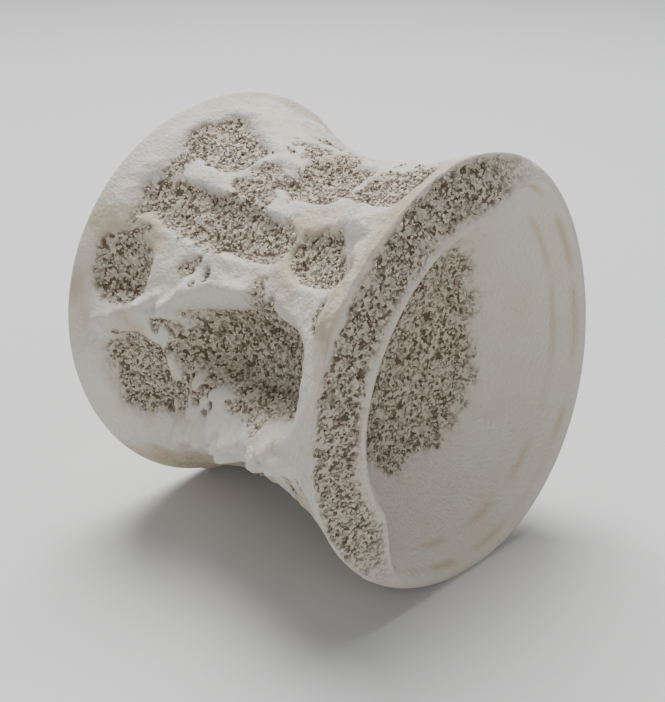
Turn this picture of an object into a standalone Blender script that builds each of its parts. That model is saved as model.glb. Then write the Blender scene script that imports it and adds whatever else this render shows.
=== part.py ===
"""A fossil fish vertebra lying on its side: the bone and the sediment that fills its hollows.

The vertebra's axis runs along X, the worn cup faces +X, and both rims rest on the plane z = 0.
Lengths are in millimetres until a mesh is made, and angles are clock angles in degrees:
0 is the top, 90 is the -Y side, 180 is the bottom.
"""

import bmesh
import bpy
import numpy as np

MM = 0.001

LENGTH = 39.2
NEAR_HALF_HEIGHT = 23.45
NEAR_HALF_WIDTH = 21.6
FAR_HALF_HEIGHT = 23.65
FAR_HALF_WIDTH = 23.2
FAR_OFFSET_Y = 0.76

# Waist radius as a share of the rim's, at the top, the underside and the sides.
WAIST_TOP = 0.84
WAIST_BOTTOM = 0.81
WAIST_SIDE = 0.795
FLARE = 2.16
RIM_BAND = 0.94

# Departures of each rim from an ellipse: two- and three-lobed waves, as cosine and sine shares.
NEAR_WAVES = ((2, 0.0, 0.019), (3, 0.020, -0.020))
FAR_WAVES = ((2, -0.003, -0.005), (3, -0.013, -0.004))

# The resting flats are this deep below the rims' own curve.
FLAT_DEPTH = 0.3

# The worn stretch of the near rim, where the outer layer has broken away from the cup's lip.
WORN_START = -30.0
WORN_END = 150.0
WORN_FADE = 28.0
WORN_SETBACK = 1.5
WORN_LIP = 0.73
SOUND_SETBACK = 0.8
SOUND_LIP = 0.955
FAR_SETBACK = 1.2
FAR_LIP = 0.93

CUP_DEPTH = 16.0
CUP_CURVE = 0.70
FILL_DEPTH = 10.0
FILL_DISH = 1.0

GAP = 0.3
CUP_GAP = 0.5
FILL_THICKNESS = 1.3
FILL_SUNK = 0.25
CUTTER_RISE = 2.5

COLUMNS = 92
OUTER_ROWS = 27
CUP_ROWS = 9
PATCH_SIDES = 22
PATCH_RINGS = (0.4, 0.75, 1.0)

# Each filled hollow: name, station, clock angle, half length (station), half angle, sink in mm.
HOLLOWS = (
    ("matrix_upper_far", -0.58, 14.0, 0.20, 11.0, 0.8),
    ("matrix_upper_mid", 0.14, 13.0, 0.20, 11.0, 1.0),
    ("matrix_upper_near", 0.64, 15.0, 0.17, 9.0, 0.8),
    ("matrix_long_cell", -0.24, 42.0, 0.46, 8.0, 1.0),
    ("matrix_short_cell", 0.58, 43.0, 0.24, 8.0, 1.0),
    ("matrix_side_pit", 0.20, 79.0, 0.42, 14.5, 4.2),
    ("matrix_lower_far", -0.56, 100.0, 0.17, 13.0, 1.8),
    ("matrix_far_band", -0.70, 66.0, 0.15, 9.0, 0.7),
    ("matrix_underside", 0.05, 146.0, 0.40, 11.0, 1.6),
    ("matrix_back_upper", 0.0, -22.0, 0.45, 10.0, 1.0),
    ("matrix_back_long", 0.0, -50.0, 0.45, 9.0, 1.0),
    ("matrix_back_pit", 0.0, -86.0, 0.42, 15.0, 4.0),
    ("matrix_back_lower", 0.0, -128.0, 0.42, 12.0, 1.6),
)

# Raised bone: name, (station, clock angle) points in order, half width and height in mm.
RIDGES = (
    ("oblique", ((0.62, 30.0), (0.82, 44.0), (0.88, 60.0)), 2.0, 0.9),
    ("broken_shelf", ((-0.76, 83.0), (-0.55, 77.0), (-0.25, 68.0), (0.10, 61.0)), 1.4, 1.3),
    ("lower_shelf", ((-0.25, 112.0), (0.10, 108.0), (0.50, 101.0)), 2.2, 2.6),
    ("upper_bar", ((-0.72, 0.0), (-0.30, 8.0), (-0.10, 16.0)), 1.0, 0.6),
)

BONE_COLOUR = (0.78, 0.72, 0.61, 1.0)
MATRIX_COLOUR = (0.40, 0.33, 0.24, 1.0)


def smooth(value):
    """Smooth step of a value clipped to 0 and 1."""
    t = np.clip(value, 0.0, 1.0)
    return t * t * (3.0 - 2.0 * t)


def waves(clock, terms):
    """A rim's radius share at a clock angle: one plus its waves."""
    angle = np.radians(clock)
    total = np.ones_like(angle)
    for order, cosine, sine in terms:
        total = total + cosine * np.cos(order * angle) + sine * np.sin(order * angle)
    return total


def rim_centre_height(half_height, terms):
    """Height of a rim's centre that leaves its lowest point on the floor."""
    clock = np.arange(0.0, 360.0, 1.0)
    drop = -half_height * waves(clock, terms) * np.cos(np.radians(clock))
    return float(drop.max()) - FLAT_DEPTH


def middle_y():
    """Y at the middle of the two rims' extent, which becomes the model's centre line."""
    clock = np.arange(0.0, 360.0, 1.0)
    sine = np.sin(np.radians(clock))
    near = -NEAR_HALF_WIDTH * waves(clock, NEAR_WAVES) * sine
    far = -FAR_HALF_WIDTH * waves(clock, FAR_WAVES) * sine + FAR_OFFSET_Y
    both = np.concatenate((near, far))
    return float(both.max() + both.min()) / 2.0


NEAR_HEIGHT = rim_centre_height(NEAR_HALF_HEIGHT, NEAR_WAVES)
FAR_HEIGHT = rim_centre_height(FAR_HALF_HEIGHT, FAR_WAVES)
MIDDLE_Y = middle_y()


def place(station, clock, share, lift):
    """A point at a share of the local rim radius, raised by lift millimetres."""
    mix = (station + 1.0) / 2.0
    angle = np.radians(clock)
    half_height = FAR_HALF_HEIGHT * (1.0 - mix) + NEAR_HALF_HEIGHT * mix
    half_width = FAR_HALF_WIDTH * (1.0 - mix) + NEAR_HALF_WIDTH * mix
    wave = waves(clock, FAR_WAVES) * (1.0 - mix) + waves(clock, NEAR_WAVES) * mix
    y_centre = FAR_OFFSET_Y * (1.0 - mix) - MIDDLE_Y
    z_centre = FAR_HEIGHT * (1.0 - mix) + NEAR_HEIGHT * mix
    x = station * LENGTH / 2.0
    y = y_centre - (half_width * wave * share + lift) * np.sin(angle)
    z = z_centre + (half_height * wave * share + lift) * np.cos(angle)
    return np.stack((x + 0.0 * y, y, np.maximum(z, 0.0)), axis=-1)


def waist_share(station, clock):
    """The hourglass: radius share that narrows from each rim band to the waist."""
    angle = np.radians(clock)
    cosine = np.cos(angle)
    upright = np.where(cosine > 0.0, WAIST_TOP, WAIST_BOTTOM)
    waist = upright * cosine ** 2 + WAIST_SIDE * np.sin(angle) ** 2
    reach = np.minimum(np.abs(station) / RIM_BAND, 1.0)
    return waist + (1.0 - waist) * reach ** FLARE


def turn_between(clock, centre):
    """Signed angle from centre to clock, within half a turn."""
    return (clock - centre + 180.0) % 360.0 - 180.0


def relief(station, clock):
    """Height of the bone above the plain hourglass, in millimetres."""
    height = 0.0 * clock + 0.0 * station
    for _name, at, turn, half_length, half_turn, sink in HOLLOWS:
        along = np.abs(station - at) / half_length
        across = np.abs(turn_between(clock, turn)) / half_turn
        distance = (along ** 3 + across ** 3) ** (1.0 / 3.0)
        height = height - sink * smooth((1.35 - distance) / 0.6)
    for _name, points, half_width, rise in RIDGES:
        height = height + rise * ridge_weight(station, clock, points, half_width)
    return height


def ridge_weight(station, clock, points, half_width):
    """One on a ridge's line, falling to nought about two half widths away."""
    radius = (NEAR_HALF_HEIGHT + FAR_HALF_HEIGHT) / 2.0 * WAIST_SIDE
    nearest = np.full(np.broadcast(station, clock).shape, 1e9)
    for start, end in zip(points[:-1], points[1:]):
        ax = start[0] * LENGTH / 2.0
        bx = end[0] * LENGTH / 2.0
        ay = np.radians(start[1]) * radius
        by = np.radians(end[1]) * radius
        px = station * LENGTH / 2.0
        py = np.radians(turn_between(clock, 0.0)) * radius
        along = ((px - ax) * (bx - ax) + (py - ay) * (by - ay)) / ((bx - ax) ** 2 + (by - ay) ** 2)
        along = np.clip(along, 0.0, 1.0)
        gap = np.hypot(px - ax - along * (bx - ax), py - ay - along * (by - ay))
        nearest = np.minimum(nearest, gap)
    return np.exp(-(nearest / half_width) ** 2)


def bone_skin(station, clock, lift=0.0):
    """The bone's outer face, or a face lifted off it."""
    return place(station, clock, waist_share(station, clock), relief(station, clock) + lift)


def worn(clock):
    """One along the worn stretch of the near rim, nought along the sound one."""
    centre = (WORN_START + WORN_END) / 2.0
    half = (WORN_END - WORN_START) / 2.0
    return smooth((half - np.abs(turn_between(clock, centre))) / WORN_FADE)


def near_lip(clock):
    """The near lip's radius share."""
    return SOUND_LIP + (WORN_LIP - SOUND_LIP) * worn(clock)


def far_lip(clock):
    """The far lip's radius share."""
    return FAR_LIP + 0.0 * clock


def cup_wall(end, depth_share, clock, inset=0.0):
    """A cup's wall: end is 1 for near and -1 for far, depth_share runs from lip to apex."""
    lip = near_lip(clock) if end > 0 else far_lip(clock)
    share = lip * (1.0 - depth_share) ** CUP_CURVE
    station = end * (1.0 - 2.0 * CUP_DEPTH * depth_share / LENGTH)
    return place(station + 0.0 * clock, clock, share, -inset)


def closed_grid(rings, first_pole, last_pole):
    """Vertices and faces of a closed body from equal rings between two poles."""
    count = len(rings[0])
    vertices = [tuple(first_pole)]
    for ring in rings:
        vertices.extend(map(tuple, ring))
    vertices.append(tuple(last_pole))
    last = len(vertices) - 1
    faces = []
    for j in range(count):
        k = (j + 1) % count
        faces.append((0, 1 + k, 1 + j))
        faces.append((last, last - count + j, last - count + k))
    for i in range(len(rings) - 1):
        for j in range(count):
            k = (j + 1) % count
            a = 1 + i * count + j
            b = 1 + i * count + k
            c = b + count
            d = a + count
            faces.append((a, b, c))
            faces.append((a, c, d))
    return vertices, faces


def make_object(name, rings, first_pole, last_pole, material):
    """One closed mesh object, faces outward, with its material."""
    vertices, faces = closed_grid(rings, first_pole, last_pole)
    mesh = bpy.data.meshes.new(name)
    mesh.from_pydata([tuple(MM * c for c in v) for v in vertices], [], faces)
    work = bmesh.new()
    work.from_mesh(mesh)
    bmesh.ops.recalc_face_normals(work, faces=work.faces)
    if work.calc_volume(signed=True) < 0.0:
        bmesh.ops.reverse_faces(work, faces=work.faces)
    work.to_mesh(mesh)
    work.free()
    mesh.shade_smooth()
    mesh.materials.append(material)
    thing = bpy.data.objects.new(name, mesh)
    bpy.context.scene.collection.objects.link(thing)
    return thing


def make_material(name, colour, roughness):
    """A plain Principled material."""
    material = bpy.data.materials.new(name)
    material.use_nodes = True
    shader = material.node_tree.nodes["Principled BSDF"]
    shader.inputs["Base Color"].default_value = colour
    shader.inputs["Roughness"].default_value = roughness
    shader.inputs["Metallic"].default_value = 0.0
    return material


def make_bone(material):
    """The vertebra's bone: near cup, worn rim, outer face, far rim and far cup."""
    clock = np.arange(COLUMNS) * 360.0 / COLUMNS
    depths = np.linspace(0.0, 1.0, CUP_ROWS + 1)[:-1]
    rings = [cup_wall(1, share, clock) for share in depths[::-1]]
    setback = SOUND_SETBACK + (WORN_SETBACK - SOUND_SETBACK) * worn(clock)
    near_edge = 1.0 - 2.0 * setback / LENGTH
    far_edge = -1.0 + 2.0 * FAR_SETBACK / LENGTH
    middle_share = (1.0 + near_lip(clock)) / 2.0
    rings.append(place((1.0 + near_edge) / 2.0, clock, middle_share + 0.006, 0.0))
    for step in np.linspace(0.0, 1.0, OUTER_ROWS):
        station = near_edge + (far_edge - near_edge) * step
        rings.append(bone_skin(station, clock))
    rings.append(place((far_edge - 1.0) / 2.0 + 0.0 * clock, clock, (1.0 + FAR_LIP) / 2.0 + 0.01, 0.0))
    rings.extend(cup_wall(-1, share, clock) for share in depths)
    near_pole = cup_wall(1, 1.0, np.zeros(1))[0]
    far_pole = cup_wall(-1, 1.0, np.zeros(1))[0]
    return make_object("centrum", rings, near_pole, far_pole, material)


def patch_rings(hollow, grow, bottom, top):
    """Rings of a pad over a hollow, from the middle of its top round to the middle of its bottom."""
    _name, at, turn, half_length, half_turn, _sink = hollow
    around = np.arange(PATCH_SIDES) * 2.0 * np.pi / PATCH_SIDES
    radius = NEAR_HALF_HEIGHT * WAIST_SIDE
    reach_s = half_length + grow * 2.0 / LENGTH
    reach_t = half_turn + np.degrees(grow / radius)
    square = (np.abs(np.cos(around)) ** 3 + np.abs(np.sin(around)) ** 3) ** (-1.0 / 3.0)
    rings = []
    for share, lift in [(r, top) for r in PATCH_RINGS] + [(r, bottom) for r in PATCH_RINGS[::-1]]:
        station = at + reach_s * share * square * np.cos(around)
        clock = turn + reach_t * share * square * np.sin(around)
        rings.append(bone_skin(station, clock, lift))
    poles = [bone_skin(np.array([at]), np.array([turn]), lift)[0] for lift in (top, bottom)]
    return rings, poles


def make_fill(hollow, bone, material):
    """The sediment in one hollow, and the pocket cut for it in the bone."""
    name = hollow[0]
    rings, poles = patch_rings(hollow, 0.0, -FILL_SUNK - FILL_THICKNESS, -FILL_SUNK)
    make_object(name, rings, poles[0], poles[1], material)
    rings, poles = patch_rings(hollow, GAP, -FILL_SUNK - FILL_THICKNESS - GAP, CUTTER_RISE)
    cutter = make_object("cut_" + name, rings, poles[0], poles[1], material)
    cut = bone.modifiers.new("pocket", "BOOLEAN")
    cut.operation = "DIFFERENCE"
    cut.solver = "EXACT"
    cut.object = cutter
    cutter.hide_render = True
    cutter.display_type = "WIRE"


def make_cup_fill(name, end, material):
    """The sediment in the depth of a cup, dished on top and clear of the wall."""
    clock = np.arange(0.0, 360.0, 10.0)
    top_share = FILL_DEPTH / CUP_DEPTH
    edge = cup_wall(end, top_share, clock, CUP_GAP)
    middle = edge.mean(axis=0)
    rings = []
    for share in (0.35, 0.7):
        ring = middle + (edge - middle) * share
        ring[:, 0] -= end * FILL_DISH * (1.0 - share)
        rings.append(ring)
    for share in (top_share, 0.76, 0.88):
        rings.append(cup_wall(end, share, clock, CUP_GAP))
    top = middle - np.array((end * FILL_DISH, 0.0, 0.0))
    bottom = rings[-1].mean(axis=0) - np.array((end * 0.6, 0.0, 0.0))
    make_object(name, rings, top, bottom, material)


def clear_scene():
    """Remove every object of the open scene."""
    for thing in list(bpy.data.objects):
        bpy.data.objects.remove(thing, do_unlink=True)


def build():
    """Make the bone and every fill."""
    clear_scene()
    bone_material = make_material("bone", BONE_COLOUR, 0.75)
    matrix_material = make_material("matrix", MATRIX_COLOUR, 0.95)
    bone = make_bone(bone_material)
    for hollow in HOLLOWS:
        make_fill(hollow, bone, matrix_material)
    make_cup_fill("matrix_near_cup", 1, matrix_material)
    make_cup_fill("matrix_far_cup", -1, matrix_material)


build()
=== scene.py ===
"""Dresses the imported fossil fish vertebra: its bone, its sediment and a plain pale studio.

Lengths are in millimetres until a mesh is made. A station runs along the vertebra's axis, from -1 at
the far rim to 1 at the worn one, and a clock angle turns in degrees from the top towards -Y.
"""

import logging
from dataclasses import dataclass
from enum import Enum

import bpy
import numpy as np
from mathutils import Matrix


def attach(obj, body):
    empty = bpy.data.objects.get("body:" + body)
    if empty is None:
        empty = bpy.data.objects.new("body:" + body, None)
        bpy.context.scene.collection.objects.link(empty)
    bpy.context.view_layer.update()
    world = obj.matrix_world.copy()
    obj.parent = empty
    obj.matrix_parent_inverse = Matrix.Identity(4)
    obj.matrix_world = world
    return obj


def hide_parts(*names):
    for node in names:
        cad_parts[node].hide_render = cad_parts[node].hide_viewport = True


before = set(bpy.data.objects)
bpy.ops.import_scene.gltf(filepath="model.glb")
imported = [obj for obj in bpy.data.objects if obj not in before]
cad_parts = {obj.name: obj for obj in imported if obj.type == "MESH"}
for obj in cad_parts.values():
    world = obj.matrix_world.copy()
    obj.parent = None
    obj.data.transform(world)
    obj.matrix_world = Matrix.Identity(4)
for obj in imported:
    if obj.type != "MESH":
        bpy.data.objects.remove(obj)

LOG = logging.getLogger("vertebra")
MM = 0.001
SEED = 20

# Large odd numbers, shifts and a mask that turn a cell's whole numbers into a repeatable one.
CELL_FACTORS = (374761393, 668265263, 2147483647)
SEED_FACTOR = 1442695041
MIX_FACTOR = 1274126177
FIRST_SHIFT = 13
SECOND_SHIFT = 16
LOW_BITS = 0xFFFF

# A colour Mix node's two inputs and its output, by number.
MIX_FIRST = 6
MIX_SECOND = 7
MIX_RESULT = 2

# A sand grain is an octahedron: a corner on each of the six axis directions, and faces that look out.
GRAIN_CORNERS = 6
GRAIN_FACES = ((0, 1, 2), (1, 3, 2), (3, 4, 2), (4, 0, 2), (1, 0, 5), (3, 1, 5), (4, 3, 5), (0, 4, 5))


class Slot(Enum):
    """The record's material slots."""

    BONE = "bone"
    MATRIX = "matrix"


class End(Enum):
    """The two cups, by the sign of X that they face."""

    NEAR = 1
    FAR = -1


@dataclass(frozen=True)
class Hollow:
    """A hollow in the bone's outer face that sediment fills."""

    node: str
    station: float
    clock: float
    half_length: float
    half_turn: float
    sink: float


@dataclass(frozen=True)
class Ridge:
    """A raised line of bone through (station, clock) points."""

    points: tuple
    half_width: float
    rise: float


@dataclass(frozen=True)
class Rim:
    """A rim: half height and half width in mm, its waves and its offset along Y."""

    half_height: float
    half_width: float
    waves: tuple
    offset: float


@dataclass(frozen=True)
class Grit:
    """One layer of value noise: its height, its lumps' size in mm and the seed that picks it."""

    height: float
    size: float
    seed: int


@dataclass(frozen=True)
class GrowthRing:
    """A brown ring in a cup: its depth share, its half width and its strength."""

    depth: float
    half_width: float
    strength: float


HOLLOWS = (
    Hollow("matrix_upper_far", -0.58, 14.0, 0.20, 11.0, 0.8),
    Hollow("matrix_upper_mid", 0.14, 13.0, 0.20, 11.0, 1.0),
    Hollow("matrix_upper_near", 0.64, 15.0, 0.17, 9.0, 0.8),
    Hollow("matrix_long_cell", -0.24, 42.0, 0.46, 8.0, 1.0),
    Hollow("matrix_short_cell", 0.58, 43.0, 0.24, 8.0, 1.0),
    Hollow("matrix_side_pit", 0.20, 79.0, 0.42, 14.5, 4.2),
    Hollow("matrix_lower_far", -0.56, 100.0, 0.17, 13.0, 1.8),
    Hollow("matrix_far_band", -0.70, 66.0, 0.15, 9.0, 0.7),
    Hollow("matrix_underside", 0.05, 146.0, 0.40, 11.0, 1.6),
    Hollow("matrix_back_upper", 0.0, -22.0, 0.45, 10.0, 1.0),
    Hollow("matrix_back_long", 0.0, -50.0, 0.45, 9.0, 1.0),
    Hollow("matrix_back_pit", 0.0, -86.0, 0.42, 15.0, 4.0),
    Hollow("matrix_back_lower", 0.0, -128.0, 0.42, 12.0, 1.6),
)

# In order: the oblique bar by the worn rim, the broken upper shelf, the lower shelf, the upper bar.
RIDGES = (
    Ridge(((0.62, 30.0), (0.82, 44.0), (0.88, 60.0)), 2.0, 0.9),
    Ridge(((-0.76, 83.0), (-0.55, 77.0), (-0.25, 68.0), (0.10, 61.0)), 1.4, 1.3),
    Ridge(((-0.25, 112.0), (0.10, 108.0), (0.50, 101.0)), 2.2, 2.6),
    Ridge(((-0.72, 0.0), (-0.30, 8.0), (-0.10, 16.0)), 1.0, 0.6),
)

GROWTH_RINGS = (GrowthRing(0.06, 0.010, 1.0), GrowthRing(0.17, 0.012, 0.8))

CUP_EDGE_GRIT = (Grit(0.09, 4.0, 3), Grit(0.05, 1.2, 4))
CUP_SAND_GRIT = (Grit(0.35, 0.5, 5), Grit(0.25, 1.6, 6))
CELL_EDGE_GRIT = (Grit(0.10, 2.2, 7), Grit(0.05, 0.8, 8))
BONE_GRIT = (Grit(0.36, 3.2, 9), Grit(0.16, 0.8, 10))
SAND_GRIT = (Grit(0.14, 0.45, 11), Grit(0.20, 1.3, 12))
STAIN_GRIT = (Grit(1.0, 6.0, 13), Grit(0.4, 1.5, 14))
STRIP_EDGE_GRIT = (Grit(0.4, 1.0, 15),)
STRIP_SAND_GRIT = (Grit(0.22, 0.5, 16), Grit(0.25, 1.5, 17))
DUST_GRIT = (Grit(0.55, 5.0, 18), Grit(0.45, 1.1, 19))
BREAK_GRIT = (Grit(0.7, 1.7, 20), Grit(0.3, 0.7, 21))
RING_WANDER_GRIT = (Grit(0.012, 7.0, 22),)
RING_BREAK_GRIT = (Grit(1.0, 3.0, 23),)


def smooth(value: np.ndarray) -> np.ndarray:
    """Smooth step: 3t^2 - 2t^3 of the value clipped to 0 and 1."""
    t = np.clip(value, 0.0, 1.0)
    return t * t * (3.0 - 2.0 * t)


def turn_between(clock: np.ndarray, centre: float) -> np.ndarray:
    """Signed angle from centre to clock, within half a turn."""
    return (clock - centre + 180.0) % 360.0 - 180.0


def lattice(cells: np.ndarray, seed: int) -> np.ndarray:
    """A repeatable number for each cell: its whole numbers times large odd ones, mixed by shifts.

    Args:
        cells: whole-number cells, with the axis last.
        seed: picks the pattern.

    Returns:
        One number from 0 to 1 for each cell.
    """
    mixed = cells[..., 0] * CELL_FACTORS[0] + cells[..., 1] * CELL_FACTORS[1]
    mixed = mixed + cells[..., 2] * CELL_FACTORS[2] + seed * SEED_FACTOR
    mixed = (mixed ^ (mixed >> FIRST_SHIFT)) * MIX_FACTOR
    mixed = mixed ^ (mixed >> SECOND_SHIFT)
    return (mixed & LOW_BITS) / float(LOW_BITS)


def grain_noise(points: np.ndarray, size: float, seed: int) -> np.ndarray:
    """Value noise: the cube's eight corner numbers, blended by a smooth step on each axis.

    Args:
        points: places in mm, with the axis last.
        size: the cube's edge in mm.
        seed: picks the pattern.

    Returns:
        One number from -1 to 1 for each place.
    """
    scaled = points / size
    base = np.floor(scaled).astype(np.int64)
    blend = smooth(scaled - base)
    total = np.zeros(points.shape[:-1])
    for corner in np.ndindex(2, 2, 2):
        step = np.array(corner)
        weight = np.prod(np.where(step == 1, blend, 1.0 - blend), axis=-1)
        total = total + weight * lattice(base + step, seed)
    return 2.0 * total - 1.0


def unevenness(points: np.ndarray, layers: tuple) -> np.ndarray:
    """The sum of some layers of value noise, each times its height.

    Args:
        points: places in mm, with the axis last.
        layers: the Grit layers.

    Returns:
        One number for each place.
    """
    total = np.zeros(points.shape[:-1])
    for layer in layers:
        total = total + layer.height * grain_noise(points, layer.size, layer.seed)
    return total


@dataclass
class Vertebra:
    """The bone's form: an hourglass with a cup at each end and sediment in its hollows."""

    length: float = 39.2
    near: Rim = Rim(23.45, 21.6, ((2, 0.0, 0.019), (3, 0.020, -0.020)), 0.0)
    far: Rim = Rim(23.65, 23.2, ((2, -0.003, -0.005), (3, -0.013, -0.004)), 0.76)
    waist_top: float = 0.84
    waist_bottom: float = 0.81
    waist_side: float = 0.795
    flare: float = 2.16
    rim_band: float = 0.94
    flat_depth: float = 0.3

    # The rims: the worn stretch in clock degrees, setbacks in mm, lips and swells as radius shares.
    worn_start: float = -30.0
    worn_end: float = 150.0
    worn_fade: float = 28.0
    sound_setback: float = 0.8
    worn_setback: float = 1.5
    sound_lip: float = 0.955
    worn_lip: float = 0.73
    near_swell: float = 0.012
    far_setback: float = 1.2
    far_lip: float = 0.93
    far_swell: float = 0.02

    # The cups: depth, dish and lift in mm, the curve as a power, the rest as shares of the way in.
    cup_depth: float = 16.0
    cup_curve: float = 0.70
    fill_share: float = 0.62
    fill_dish: float = 1.0
    sand_share: float = 0.50
    sand_fade: float = 0.12
    sand_lift: float = 0.25
    last_depth: float = 0.995

    # Where a hollow's slope and its sediment start, and how softly, in the hollow's own half sizes.
    slope_edge: float = 1.35
    slope_fade: float = 0.6
    cell_edge: float = 1.18
    cell_fade: float = 0.14

    # Dust between the hollows: its level in the noise, its reach in clock degrees and its last station.
    dust_level: float = 0.05
    dust_fade: float = 0.15
    dust_clock: float = 55.0
    dust_half_turn: float = 70.0
    dust_turn_fade: float = 15.0
    dust_station: float = 0.80
    dust_station_fade: float = 0.10

    # The ridge weight where bone is bare, the sand's depth in mm, and the calm stretch by each rim.
    bare_ridge: float = 0.45
    bare_ridge_fade: float = 0.3
    sand_sunk: float = 0.30
    calm_rim: float = 0.12

    # Sediment on the worn strip: how far it keeps from the strip's edges, and its depth in mm.
    strip_edge: float = 0.3
    strip_steepness: float = 8.0
    strip_sunk: float = 0.2

    # Ochre stain, from 0 to 1: on the outer face, the two strips and the cups, and the rings' cover.
    stain_level: float = 0.2
    strip_stain: float = 0.2
    far_stain: float = 0.5
    cup_stain: float = 0.15
    ring_cover: float = 0.6

    # How fine the surface is: columns round the axis, and rings in each stretch.
    columns: int = 400
    outer_rings: int = 150
    strip_rings: int = 16
    far_strip_rings: int = 6
    cup_rings: int = 36

    def waves(self, clock: np.ndarray, rim: Rim) -> np.ndarray:
        """A rim's radius share: one plus a cosine and a sine of each of its waves.

        Args:
            clock: clock angle in degrees.
            rim: the rim.

        Returns:
            The radius share at each clock angle.
        """
        angle = np.radians(clock)
        total = np.ones_like(angle)
        for order, cosine, sine in rim.waves:
            total = total + cosine * np.cos(order * angle) + sine * np.sin(order * angle)
        return total

    def centre_height(self, rim: Rim) -> float:
        """Height of a rim's centre that leaves its lowest point one flat's depth under the floor.

        Args:
            rim: the rim.

        Returns:
            The height in mm.
        """
        clock = np.arange(0.0, 360.0, 1.0)
        drop = -rim.half_height * self.waves(clock, rim) * np.cos(np.radians(clock))
        return float(drop.max()) - self.flat_depth

    def middle_y(self) -> float:
        """Y at the middle of the two rims' extent.

        Returns:
            The place in mm.
        """
        clock = np.arange(0.0, 360.0, 1.0)
        sine = np.sin(np.radians(clock))
        sides = [rim.offset - rim.half_width * self.waves(clock, rim) * sine for rim in (self.near, self.far)]
        both = np.concatenate(sides)
        return float(both.max() + both.min()) / 2.0

    def place(self, station: np.ndarray, clock: np.ndarray, share: np.ndarray,
              lift: np.ndarray) -> np.ndarray:
        """Points at a share of the local rim radius, raised by lift and kept above the floor.

        The rim's half sizes, waves and centre blend in a straight line from the far rim to the near one.

        Args:
            station: from -1 at the far rim to 1 at the near one.
            clock: clock angle in degrees.
            share: share of the rim's radius.
            lift: millimetres outward.

        Returns:
            Places in mm, with the axis last.
        """
        mix = (station + 1.0) / 2.0
        angle = np.radians(clock)
        tall = self.far.half_height * (1.0 - mix) + self.near.half_height * mix
        wide = self.far.half_width * (1.0 - mix) + self.near.half_width * mix
        wave = self.waves(clock, self.far) * (1.0 - mix) + self.waves(clock, self.near) * mix
        y_centre = self.far.offset * (1.0 - mix) - self.middle_y()
        z_centre = self.centre_height(self.far) * (1.0 - mix) + self.centre_height(self.near) * mix
        y = y_centre - (wide * wave * share + lift) * np.sin(angle)
        z = z_centre + (tall * wave * share + lift) * np.cos(angle)
        x = station * self.length / 2.0 + 0.0 * y
        return np.stack((x, y, np.maximum(z, 0.0)), axis=-1)

    def waist_share(self, station: np.ndarray, clock: np.ndarray) -> np.ndarray:
        """The hourglass: waist share plus the rest times the station's distance to the power of the flare.

        Args:
            station: from -1 to 1.
            clock: clock angle in degrees.

        Returns:
            Share of the rim's radius.
        """
        angle = np.radians(clock)
        cosine = np.cos(angle)
        upright = np.where(cosine > 0.0, self.waist_top, self.waist_bottom)
        waist = upright * cosine ** 2 + self.waist_side * np.sin(angle) ** 2
        reach = np.minimum(np.abs(station) / self.rim_band, 1.0)
        return waist + (1.0 - waist) * reach ** self.flare

    def hollow_distance(self, hollow: Hollow, station: np.ndarray, clock: np.ndarray) -> np.ndarray:
        """Nought at a hollow's middle and one at its edge, by a rounded-box rule of power three.

        Args:
            hollow: the hollow.
            station: from -1 to 1.
            clock: clock angle in degrees.

        Returns:
            The distance, in the hollow's own half sizes.
        """
        along = np.abs(station - hollow.station) / hollow.half_length
        across = np.abs(turn_between(clock, hollow.clock)) / hollow.half_turn
        return (along ** 3 + across ** 3) ** (1.0 / 3.0)

    def ridge_weight(self, ridge: Ridge, station: np.ndarray, clock: np.ndarray) -> np.ndarray:
        """One on the ridge's line, falling as a bell curve of the distance from its nearest stretch.

        Args:
            ridge: the ridge.
            station: from -1 to 1.
            clock: clock angle in degrees.

        Returns:
            A weight from 0 to 1.
        """
        radius = (self.near.half_height + self.far.half_height) / 2.0 * self.waist_side
        px = station * self.length / 2.0
        py = np.radians(turn_between(clock, 0.0)) * radius
        nearest = np.full(np.broadcast(px, py).shape, np.inf)
        for start, end in zip(ridge.points[:-1], ridge.points[1:]):
            ax, bx = start[0] * self.length / 2.0, end[0] * self.length / 2.0
            ay, by = np.radians(start[1]) * radius, np.radians(end[1]) * radius
            span = (bx - ax) ** 2 + (by - ay) ** 2
            along = np.clip(((px - ax) * (bx - ax) + (py - ay) * (by - ay)) / span, 0.0, 1.0)
            away = np.hypot(px - ax - along * (bx - ax), py - ay - along * (by - ay))
            nearest = np.minimum(nearest, away)
        return np.exp(-(nearest / ridge.half_width) ** 2)

    def worn(self, clock: np.ndarray) -> np.ndarray:
        """One along the worn stretch of the near rim, nought along the sound one.

        Args:
            clock: clock angle in degrees.

        Returns:
            A weight from 0 to 1.
        """
        centre = (self.worn_start + self.worn_end) / 2.0
        half = (self.worn_end - self.worn_start) / 2.0
        return smooth((half - np.abs(turn_between(clock, centre))) / self.worn_fade)

    def lip(self, end: End, clock: np.ndarray) -> np.ndarray:
        """A lip's radius share, drawn in where the near one is worn.

        Args:
            end: which cup.
            clock: clock angle in degrees.

        Returns:
            Share of the rim's radius.
        """
        if end is End.FAR:
            return self.far_lip + 0.0 * clock
        return self.sound_lip - (self.sound_lip - self.worn_lip) * self.worn(clock)

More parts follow.
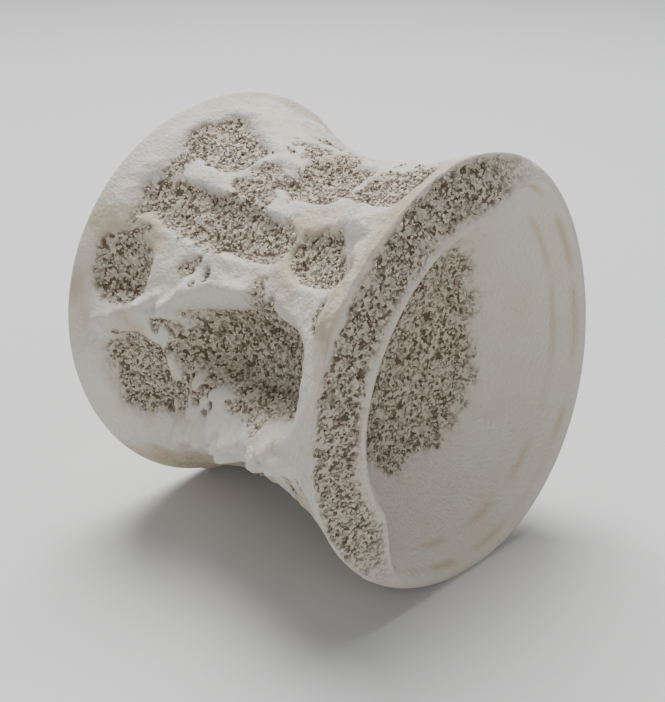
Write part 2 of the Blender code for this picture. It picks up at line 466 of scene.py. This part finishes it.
    def cup(self, end: End, depth: np.ndarray, clock: np.ndarray) -> tuple:
        """A cup's wall and how much of it is sediment.

        The radius share is the lip's times one less the depth, to a power, down to the level of the
        sediment, and from there the wall runs in as a dished floor.

        Args:
            end: which cup.
            depth: from 0 at the lip to 1 at the middle of the floor.
            clock: clock angle in degrees.

        Returns:
            Places in mm, and the share of sediment from 0 to 1.
        """
        wall = np.minimum(depth, self.fill_share)
        inward = smooth((depth - self.fill_share) / (1.0 - self.fill_share))
        share = self.lip(end, clock) * (1.0 - wall) ** self.cup_curve * (1.0 - inward)
        sunk = self.cup_depth * wall + self.fill_dish * inward
        places = self.place(end.value * (1.0 - 2.0 * sunk / self.length), clock, share, 0.0 * clock)
        patchy = unevenness(places, CUP_EDGE_GRIT)
        sediment = smooth((depth + patchy - self.sand_share) / self.sand_fade)
        rough = unevenness(places, CUP_SAND_GRIT)
        places[..., 0] += end.value * sediment * (self.sand_lift + rough)
        return places, sediment

    def growth_stain(self, places: np.ndarray, depth: np.ndarray) -> np.ndarray:
        """Brown growth rings in a cup: a bell curve about each ring's depth, broken up by value noise.

        Args:
            places: places in mm, with the axis last.
            depth: from 0 at the lip to 1 at the middle of the floor.

        Returns:
            The share of stain.
        """
        wander = depth + unevenness(places, RING_WANDER_GRIT)
        rings = 0.0 * wander
        for ring in GROWTH_RINGS:
            rings = rings + ring.strength * np.exp(-((wander - ring.depth) / ring.half_width) ** 2)
        broken = smooth(self.ring_cover + unevenness(places, RING_BREAK_GRIT))
        return self.cup_stain + rings * broken

    def dust(self, plain: np.ndarray, station: np.ndarray, clock: np.ndarray) -> np.ndarray:
        """Sediment between the hollows: value noise above a level, inside the rims, on the -Y side.

        Args:
            plain: places on the plain hourglass in mm.
            station: from -1 to 1.
            clock: clock angle in degrees.

        Returns:
            The share of sediment from 0 to 1.
        """
        thick = smooth((unevenness(plain, DUST_GRIT) - self.dust_level) / self.dust_fade)
        turn = np.abs(turn_between(clock, self.dust_clock))
        side = smooth((self.dust_half_turn - turn) / self.dust_turn_fade)
        inside_rims = smooth((self.dust_station - np.abs(station)) / self.dust_station_fade)
        return thick * side * inside_rims

    def outer(self, station: np.ndarray, clock: np.ndarray) -> tuple:
        """The outer face and its marks.

        The hourglass, less each hollow's sink, plus each ridge's broken rise, plus the bone's or the
        sand's unevenness by the share of sediment, calmed at the rims.

        Args:
            station: from -1 to 1.
            clock: clock angle in degrees.

        Returns:
            Places in mm, the share of sediment, and the share of ochre stain.
        """
        share = self.waist_share(station, clock)
        plain = self.place(station, clock, share, 0.0 * clock)
        height = 0.0 * share
        sediment = 0.0 * share
        wander = unevenness(plain, CELL_EDGE_GRIT)
        for hollow in HOLLOWS:
            distance = self.hollow_distance(hollow, station, clock)
            height = height - hollow.sink * smooth((self.slope_edge - distance) / self.slope_fade)
            filled = smooth((self.cell_edge - distance + wander) / self.cell_fade)
            sediment = np.maximum(sediment, filled)
        sediment = np.maximum(sediment, self.dust(plain, station, clock))
        broken = 1.0 + unevenness(plain, BREAK_GRIT)
        for ridge in RIDGES:
            weight = self.ridge_weight(ridge, station, clock)
            height = height + ridge.rise * weight * broken
            sediment = sediment * (1.0 - smooth((weight - self.bare_ridge) / self.bare_ridge_fade))
        bone = unevenness(plain, BONE_GRIT)
        sand = unevenness(plain, SAND_GRIT) - self.sand_sunk
        away_from_rims = smooth((self.rim_band - np.abs(station)) / self.calm_rim)
        height = height + away_from_rims * (bone * (1.0 - sediment) + sand * sediment)
        stain = smooth(self.stain_level + unevenness(plain, STAIN_GRIT))
        return self.place(station, clock, share, height), sediment, stain

    def worn_strip(self, clock: np.ndarray, near_edge: np.ndarray, walk: np.ndarray) -> tuple:
        """The near rim's face, from the lip out to the outer face's edge.

        The radius share and the station run in straight lines, the share with a half sine wave's swell.
        The worn stretch holds sediment between its two edges.

        Args:
            clock: clock angle in degrees, along the columns.
            near_edge: station of the outer face's edge, along the columns.
            walk: from 0 at the lip to 1 at the edge, along the rings.

        Returns:
            Places in mm, and the share of sediment from 0 to 1.
        """
        lip = self.lip(End.NEAR, clock)
        share = lip + (1.0 - lip) * walk + self.near_swell * np.sin(np.pi * walk)
        strip = self.place(1.0 + (near_edge - 1.0) * walk, clock + 0.0 * walk, share, 0.0 * share)
        within = self.strip_steepness * walk * (1.0 - walk) - self.strip_edge
        sediment = self.worn(clock) * smooth(within + unevenness(strip, STRIP_EDGE_GRIT))
        strip[..., 0] += sediment * (unevenness(strip, STRIP_SAND_GRIT) - self.strip_sunk)
        return strip, sediment

    def far_strip(self, clock: np.ndarray, far_edge: float, walk: np.ndarray) -> np.ndarray:
        """The far rim's rounded face: a straight line from edge to lip with a half sine wave's swell.

        Args:
            clock: clock angle in degrees, along the columns.
            far_edge: station of the outer face's edge.
            walk: from 0 at the edge to 1 at the lip, along the rings.

        Returns:
            Places in mm, with the axis last.
        """
        share = 1.0 + (self.far_lip - 1.0) * walk + self.far_swell * np.sin(np.pi * walk)
        station = far_edge + (-1.0 - far_edge) * walk
        return self.place(station, clock + 0.0 * walk, share + 0.0 * clock, 0.0 * clock)

    def rings(self) -> tuple:
        """Every ring of the closed bone, from the near cup's middle round to the far cup's.

        Returns:
            Places (ring, column, axis) in mm, and a dict of marks (ring, column).
        """
        clock = (np.arange(self.columns) * 360.0 / self.columns)[None, :]
        none = 0.0 * clock
        depths = np.linspace(0.0, self.last_depth, self.cup_rings)[:, None]
        near_cup, near_fill = self.cup(End.NEAR, depths[::-1] + none, clock + 0.0 * depths)
        far_cup, far_fill = self.cup(End.FAR, depths + none, clock + 0.0 * depths)
        setback = self.sound_setback + (self.worn_setback - self.sound_setback) * self.worn(clock)
        near_edge = 1.0 - 2.0 * setback / self.length
        far_edge = -1.0 + 2.0 * self.far_setback / self.length
        steps = np.linspace(0.0, 1.0, self.outer_rings)[:, None]
        outer, fill, stain = self.outer(near_edge + (far_edge - near_edge) * steps, clock + 0.0 * steps)
        walk = np.linspace(0.0, 1.0, self.strip_rings + 2)[1:-1, None]
        strip, strip_fill = self.worn_strip(clock, near_edge, walk)
        far_walk = np.linspace(0.0, 1.0, self.far_strip_rings + 2)[1:-1, None]
        far_strip = self.far_strip(clock, far_edge, far_walk)
        no_fill = none + 0.0 * far_walk
        near_stain = self.growth_stain(near_cup, depths[::-1] + none)
        far_stain = self.growth_stain(far_cup, depths + none)
        strip_stain = self.strip_stain + 0.0 * strip_fill
        places = np.concatenate((near_cup, strip, outer, far_strip, far_cup))
        sediment = np.concatenate((near_fill, strip_fill, fill, no_fill, far_fill))
        stains = np.concatenate((near_stain, strip_stain, stain, self.far_stain + no_fill, far_stain))
        places[..., 2] = np.maximum(places[..., 2], 0.0)
        return places, {"sediment": sediment, "stain": stains}


def new_material(name: str, roughness: float) -> bpy.types.Material:
    """A node material with its shader's roughness set.

    Args:
        name: the material's name.
        roughness: from 0, polished, to 1, matt.

    Returns:
        The new material.
    """
    material = bpy.data.materials.new(name)
    material.use_nodes = True
    material.node_tree.nodes["Principled BSDF"].inputs["Roughness"].default_value = roughness
    return material


def mark_value(nodes: bpy.types.Nodes, name: str) -> bpy.types.NodeSocket:
    """One of a piece's own marks, as a number.

    Args:
        nodes: the material's nodes.
        name: the mark's name.

    Returns:
        The mark's socket.
    """
    node = nodes.new("ShaderNodeAttribute")
    node.attribute_name = name
    return node.outputs["Fac"]


def colour_mix(nodes: bpy.types.Nodes, links: bpy.types.NodeLinks, factor: bpy.types.NodeSocket,
               first: tuple | bpy.types.NodeSocket,
               second: tuple | bpy.types.NodeSocket) -> bpy.types.NodeSocket:
    """Two colours mixed in a straight line by a factor.

    Args:
        nodes: the material's nodes.
        links: the material's links.
        factor: the factor's socket.
        first: the plain colour, or the socket of one, where the factor is nought.
        second: the same where it is one.

    Returns:
        The mixed colour's socket.
    """
    node = nodes.new("ShaderNodeMix")
    node.data_type = "RGBA"
    links.new(factor, node.inputs["Factor"])
    for number, colour in ((MIX_FIRST, first), (MIX_SECOND, second)):
        if isinstance(colour, tuple):
            node.inputs[number].default_value = colour
        else:
            links.new(colour, node.inputs[number])
    return node.outputs[MIX_RESULT]


@dataclass(frozen=True)
class BoneFinish:
    """Cream bone with ochre stains, growth rings in the cups and sediment where marked, whose dark cells are
    partly painted shade between the grains.
    """

    cream: tuple = (0.66, 0.59, 0.46, 1.0)
    bluish: tuple = (0.70, 0.70, 0.68, 1.0)
    ochre: tuple = (0.46, 0.32, 0.15, 1.0)
    # Dark end of the sediment's tones: partly dark sand, partly painted shade in the gaps between the grains.
    dark_sand_and_gap_shade: tuple = (0.12, 0.085, 0.05, 1.0)
    sand_light: tuple = (0.60, 0.53, 0.42, 1.0)
    roughness: float = 0.78
    stain_strength: float = 0.55

    # Pattern scales in cycles a metre, and the two levels between which the sediment turns from dark, partly
    # painted shade between the grains, to light.
    broad_scale: float = 260.0
    broad_detail: float = 4.0
    fine_scale: float = 2400.0
    fine_detail: float = 3.0
    sand_scale: float = 2600.0
    sand_levels: tuple = (0.30, 0.62)

    # The fine bump: its strength from 0 to 1 and its depth in metres.
    bump_strength: float = 0.6
    bump_depth: float = 0.0004

    def make(self) -> bpy.types.Material:
        """Builds the node material on Object coordinates and the piece's own marks.

        Returns:
            The new material.
        """
        material = new_material("bone_and_sediment", self.roughness)
        nodes = material.node_tree.nodes
        links = material.node_tree.links
        shader = nodes["Principled BSDF"]
        where = nodes.new("ShaderNodeTexCoord")
        broad = self.noise(nodes, links, where, self.broad_scale, self.broad_detail)
        fine = self.noise(nodes, links, where, self.fine_scale, self.fine_detail)
        bone = colour_mix(nodes, links, broad, self.cream, self.bluish)
        stained = self.stained(nodes, links, bone)
        sand = self.sand(nodes, links, where)
        dressed = colour_mix(nodes, links, mark_value(nodes, "sediment"), stained, sand)
        links.new(dressed, shader.inputs["Base Color"])
        bump = nodes.new("ShaderNodeBump")
        bump.inputs["Strength"].default_value = self.bump_strength
        bump.inputs["Distance"].default_value = self.bump_depth
        links.new(fine, bump.inputs["Height"])
        links.new(bump.outputs["Normal"], shader.inputs["Normal"])
        return material

    def sand(self, nodes: bpy.types.Nodes, links: bpy.types.NodeLinks,
             where: bpy.types.Node) -> bpy.types.NodeSocket:
        """The sediment's colour: cells of one tone each, from dark to light. The dark cells are partly dark
        sand and partly painted shade in the gaps between the grains.

        Args:
            nodes: the material's nodes.
            links: the material's links.
            where: the texture coordinates.

        Returns:
            The colour's socket.
        """
        grains = nodes.new("ShaderNodeTexVoronoi")
        grains.inputs["Scale"].default_value = self.sand_scale
        links.new(where.outputs["Object"], grains.inputs["Vector"])
        # The dark cells stand partly for dark sand and partly for painted shade between the grains.
        ramp = nodes.new("ShaderNodeValToRGB")
        for element, level, colour in zip(ramp.color_ramp.elements, self.sand_levels,
                                          (self.dark_sand_and_gap_shade, self.sand_light)):
            element.position = level
            element.color = colour
        links.new(grains.outputs["Color"], ramp.inputs["Fac"])
        return ramp.outputs["Color"]

    def noise(self, nodes: bpy.types.Nodes, links: bpy.types.NodeLinks, where: bpy.types.Node,
              scale: float, detail: float) -> bpy.types.NodeSocket:
        """Noise on Object coordinates.

        Args:
            nodes: the material's nodes.
            links: the material's links.
            where: the texture coordinates.
            scale: cycles a metre.
            detail: how many finer layers it adds.

        Returns:
            The noise's socket.
        """
        node = nodes.new("ShaderNodeTexNoise")
        node.inputs["Scale"].default_value = scale
        node.inputs["Detail"].default_value = detail
        links.new(where.outputs["Object"], node.inputs["Vector"])
        return node.outputs["Fac"]

    def stained(self, nodes: bpy.types.Nodes, links: bpy.types.NodeLinks,
                bone: bpy.types.NodeSocket) -> bpy.types.NodeSocket:
        """Ochre over the bone's colour, by the stain mark times the stain's strength.

        Args:
            nodes: the material's nodes.
            links: the material's links.
            bone: the bone's colour.

        Returns:
            The colour's socket.
        """
        share = nodes.new("ShaderNodeMath")
        share.operation = "MULTIPLY"
        share.inputs[1].default_value = self.stain_strength
        links.new(mark_value(nodes, "stain"), share.inputs[0])
        return colour_mix(nodes, links, share.outputs[0], bone, self.ochre)


@dataclass(frozen=True)
class GrainFinish:
    """Sand grains, each of one tone between dark brown and cream."""

    dark: tuple = (0.14, 0.095, 0.055, 1.0)
    light: tuple = (0.78, 0.72, 0.61, 1.0)
    roughness: float = 0.7

    def make(self) -> bpy.types.Material:
        """Builds the node material on the grains' own tone.

        Returns:
            The new material.
        """
        material = new_material("sand_grain", self.roughness)
        nodes = material.node_tree.nodes
        links = material.node_tree.links
        colour = colour_mix(nodes, links, mark_value(nodes, "tone"), self.dark, self.light)
        links.new(colour, nodes["Principled BSDF"].inputs["Base Color"])
        return material


def new_mesh(name: str, vertices: np.ndarray, faces: np.ndarray, material: bpy.types.Material,
             rounded: bool) -> bpy.types.Object:
    """A mesh object at the origin from arrays.

    Args:
        name: the piece's name.
        vertices: places in mm.
        faces: three vertex numbers a face, facing out.
        material: its finish.
        rounded: whether it is shaded smooth.

    Returns:
        The new object.
    """
    mesh = bpy.data.meshes.new(name)
    mesh.vertices.add(len(vertices))
    mesh.vertices.foreach_set("co", (vertices * MM).astype(np.float32).ravel())
    mesh.loops.add(faces.size)
    mesh.loops.foreach_set("vertex_index", faces.astype(np.int32).ravel())
    mesh.polygons.add(len(faces))
    mesh.polygons.foreach_set("loop_start", np.arange(0, faces.size, 3, dtype=np.int32))
    mesh.update(calc_edges=True)
    mesh.validate()
    if rounded:
        mesh.shade_smooth()
    mesh.materials.append(material)
    thing = bpy.data.objects.new(name, mesh)
    bpy.context.scene.collection.objects.link(thing)
    return thing


@dataclass
class BonePiece:
    """The vertebra's whole surface as one closed mesh, with its places and marks kept for the grains."""

    form: Vertebra
    places: np.ndarray = None
    marks: dict = None

    def build(self) -> bpy.types.Object:
        """Makes the closed surface and its marks, and gives it its finish.

        Returns:
            The new object.
        """
        self.places, self.marks = self.form.rings()
        poles = (self.places[0].mean(axis=0), self.places[-1].mean(axis=0))
        vertices = np.vstack((poles[0], self.places.reshape(-1, 3), poles[1]))
        faces = self.faces()
        if self.volume(vertices, faces) < 0.0:
            faces = faces[:, ::-1]
        piece = new_mesh("vertebra_bone", vertices, faces, BoneFinish().make(), True)
        for name, values in self.marks.items():
            mark = piece.data.attributes.new(name, "FLOAT", "POINT")
            padded = np.concatenate(([values[0].mean()], values.ravel(), [values[-1].mean()]))
            mark.data.foreach_set("value", padded.astype(np.float32))
        return piece

    def faces(self) -> np.ndarray:
        """Two triangles for each cell between neighbouring rings, and a fan round each pole.

        Returns:
            Three vertex numbers a face. The first and last vertices are the poles.
        """
        count, columns = self.places.shape[:2]
        ring, column = np.meshgrid(np.arange(count - 1), np.arange(columns), indexing="ij")
        after = (column + 1) % columns
        a, b = 1 + ring * columns + column, 1 + ring * columns + after
        c, d = b + columns, a + columns
        lower = np.stack((a, b, c), -1).reshape(-1, 3)
        upper = np.stack((a, c, d), -1).reshape(-1, 3)
        j = np.arange(columns)
        k = (j + 1) % columns
        last = count * columns + 1
        start = np.stack((0 * j, 1 + k, 1 + j), -1)
        finish = np.stack((last + 0 * j, last - columns + j, last - columns + k), -1)
        return np.concatenate((lower, upper, start, finish))

    @staticmethod
    def volume(vertices: np.ndarray, faces: np.ndarray) -> float:
        """Signed volume: a sixth of the sum of each face's triple product, above 0 if faces look out."""
        p, q, r = vertices[faces[:, 0]], vertices[faces[:, 1]], vertices[faces[:, 2]]
        return float(np.einsum("ij,ij->i", p, np.cross(q, r)).sum() / 6.0)


@dataclass
class SandGrains:
    """Sand grains half sunk in the sediment, as one joined mesh of uneven octahedra. Sizes in mm."""

    bone: BonePiece
    count: int = 24000
    small: float = 0.10
    large: float = 0.24
    least_stretch: float = 0.6
    most_stretch: float = 1.3
    scatter: float = 0.15
    floor_gap: float = 0.02
    least_sediment: float = 0.55

    # The two powers of the tones' beta spread, each grain's patch of the bake map, and the roots' share.
    tone_powers: tuple = (1.6, 1.2)
    map_patch: float = 0.003
    map_room: float = 0.996

    def pick(self, draw: np.random.Generator) -> np.ndarray:
        """Draws surface points in the sediment, each as likely as the area that it stands for.

        Args:
            draw: the source of random numbers.

        Returns:
            A (ring, column) pair for each grain.
        """
        places = self.bone.places
        wanted = np.argwhere(self.bone.marks["sediment"] > self.least_sediment)
        step = np.linalg.norm(np.roll(places, -1, axis=1) - places, axis=-1)
        along = np.linalg.norm(np.gradient(places, axis=0), axis=-1)
        weight = (step * along)[wanted[:, 0], wanted[:, 1]]
        return wanted[draw.choice(len(wanted), self.count, p=weight / weight.sum())]

    def corners(self, draw: np.random.Generator, picked: np.ndarray) -> np.ndarray:
        """Each grain's corners: the axis directions times its size and a random stretch, then turned.

        Args:
            draw: the source of random numbers.
            picked: a (ring, column) pair for each grain.

        Returns:
            Places (grain, corner, axis) in mm.
        """
        around = draw.uniform(-self.scatter, self.scatter, (self.count, 3))
        centre = self.bone.places[picked[:, 0], picked[:, 1]] + around
        size = draw.uniform(self.small, self.large, (self.count, 1, 1))
        axes = np.vstack((np.eye(3), -np.eye(3)))[None]
        stretch = draw.uniform(self.least_stretch, self.most_stretch, (self.count, GRAIN_CORNERS, 1))
        corners = axes * size * stretch
        turn = np.linalg.qr(draw.normal(size=(self.count, 3, 3)))[0]
        turn = turn * np.sign(np.linalg.det(turn))[:, None, None]
        vertices = np.einsum("nij,nkj->nki", turn, corners) + centre[:, None]
        vertices[..., 2] = np.maximum(vertices[..., 2], self.floor_gap)
        return vertices

    def bake_map(self, piece: bpy.types.Object, picked: np.ndarray) -> None:
        """Gives each grain a small patch of the bake map at its root's column and ring.

        Args:
            piece: the joined grains.
            picked: a (ring, column) pair for each grain.
        """
        rings, columns = self.bone.places.shape[:2]
        root = np.stack((picked[:, 1] / columns, picked[:, 0] / rings), -1)
        patch = self.map_patch * np.array(((0.0, 0.0), (1.0, 0.0), (0.5, 1.0)))
        spread = np.repeat(root, len(GRAIN_FACES), axis=0)[:, None] * self.map_room + patch
        layer = piece.data.uv_layers.new(name="OFBake")
        layer.data.foreach_set("uv", spread.astype(np.float32).ravel())

    def build(self) -> bpy.types.Object:
        """Makes the joined grains, their tones and their bake map.

        Returns:
            The new object.
        """
        draw = np.random.default_rng(SEED)
        picked = self.pick(draw)
        vertices = self.corners(draw, picked)
        first = GRAIN_CORNERS * np.arange(self.count)[:, None, None]
        faces = (np.array(GRAIN_FACES)[None] + first).reshape(-1, 3)
        piece = new_mesh("sediment_grains", vertices.reshape(-1, 3), faces, GrainFinish().make(), False)
        tone = draw.beta(*self.tone_powers, self.count)
        mark = piece.data.attributes.new("tone", "FLOAT", "POINT")
        mark.data.foreach_set("value", np.repeat(tone, GRAIN_CORNERS).astype(np.float32))
        self.bake_map(piece, picked)
        return piece


@dataclass(frozen=True)
class Lamp:
    """A square area light: its name, place and size in metres, and its power in watts."""

    name: str
    place: tuple
    size: float
    watts: float


@dataclass(frozen=True)
class Studio:
    """Plain pale floor, soft lights and the camera. Sizes in mm unless named."""

    # The camera: focal length over the picture's long side in pixels, and its place by angles.
    focal_px: float = 1200.0
    long_side_px: float = 702.0
    sensor: float = 36.0
    azimuth: float = 44.26
    elevation: float = 24.0
    distance: float = 144.0
    shift_right: float = 0.32
    shift_up: float = -19.29
    clip_start_m: float = 0.005

    floor_half: float = 900.0
    floor_colour: tuple = (0.72, 0.72, 0.71, 1.0)
    floor_roughness: float = 0.9
    air_colour: tuple = (0.9, 0.93, 1.0, 1.0)
    air_strength: float = 0.22
    aim_m: tuple = (0.0, 0.0, 0.023)
    lamps: tuple = (
        Lamp("overhead", (-0.15, 0.12, 0.55), 0.40, 5.6),
        Lamp("front_fill", (0.45, -0.40, 0.30), 0.50, 1.0),
    )

    def camera(self, form: Vertebra) -> None:
        """Places the camera at the photograph's angle and framing.

        Args:
            form: the vertebra, whose middle and flats the camera's place allows for.
        """
        azimuth, elevation = np.radians(self.azimuth), np.radians(self.elevation)
        back = np.array((np.sin(azimuth) * np.cos(elevation), -np.cos(azimuth) * np.cos(elevation),
                         np.sin(elevation)))
        right = np.array((np.cos(azimuth), np.sin(azimuth), 0.0))
        up = np.cross(back, right)
        eye = back * self.distance - right * self.shift_right - up * self.shift_up
        eye = eye - np.array((0.0, form.middle_y(), form.flat_depth))
        data = bpy.data.cameras.new("camera")
        data.sensor_width = self.sensor
        data.lens = self.focal_px / self.long_side_px * self.sensor
        data.clip_start = self.clip_start_m
        thing = bpy.data.objects.new("camera", data)
        thing.location = eye * MM
        thing.rotation_euler = (np.pi / 2.0 - elevation, 0.0, azimuth)
        bpy.context.scene.collection.objects.link(thing)
        bpy.context.scene.camera = thing

    def light(self, lamp: Lamp) -> None:
        """Hangs one lamp, aimed at the vertebra's middle.

        Args:
            lamp: the lamp.
        """
        data = bpy.data.lights.new(lamp.name, "AREA")
        data.size = lamp.size
        data.energy = lamp.watts
        thing = bpy.data.objects.new(lamp.name, data)
        thing.location = lamp.place
        aim = np.array(self.aim_m) - np.array(lamp.place)
        flat = np.hypot(aim[0], aim[1])
        thing.rotation_euler = (np.arctan2(flat, -aim[2]), 0.0, np.arctan2(aim[1], aim[0]) - np.pi / 2.0)
        bpy.context.scene.collection.objects.link(thing)

    def floor(self) -> None:
        """A plain pale floor at z = 0."""
        half = self.floor_half
        corners = np.array(((-half, -half, 0.0), (half, -half, 0.0), (half, half, 0.0), (-half, half, 0.0)))
        material = new_material("pale_floor", self.floor_roughness)
        shader = material.node_tree.nodes["Principled BSDF"]
        shader.inputs["Base Color"].default_value = self.floor_colour
        floor = new_mesh("studio_floor", corners, np.array(((0, 1, 2), (0, 2, 3))), material, False)

    def build(self, form: Vertebra) -> None:
        """Builds the floor, the lights, the world and the camera.

        Args:
            form: the vertebra.
        """
        self.floor()
        for lamp in self.lamps:
            self.light(lamp)
        world = bpy.data.worlds.new("studio_air")
        world.use_nodes = True
        air = world.node_tree.nodes["Background"]
        air.inputs["Color"].default_value = self.air_colour
        air.inputs["Strength"].default_value = self.air_strength
        bpy.context.scene.world = world
        self.camera(form)


def main() -> None:
    """Builds the pieces in order and reports each."""
    logging.basicConfig(level=logging.INFO)
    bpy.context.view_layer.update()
    form = Vertebra()
    bone = BonePiece(form)
    surface = bone.build()
    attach(surface, "root")
    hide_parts("centrum")
    LOG.info("bone surface: %d faces", len(surface.data.polygons))
    grains = SandGrains(bone).build()
    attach(grains, "root")
    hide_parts(*(hollow.node for hollow in HOLLOWS), "matrix_near_cup", "matrix_far_cup")
    LOG.info("sediment grains: %d faces", len(grains.data.polygons))
    Studio().build(form)
    LOG.info("studio ready")


if __name__ == "__main__":
    main()
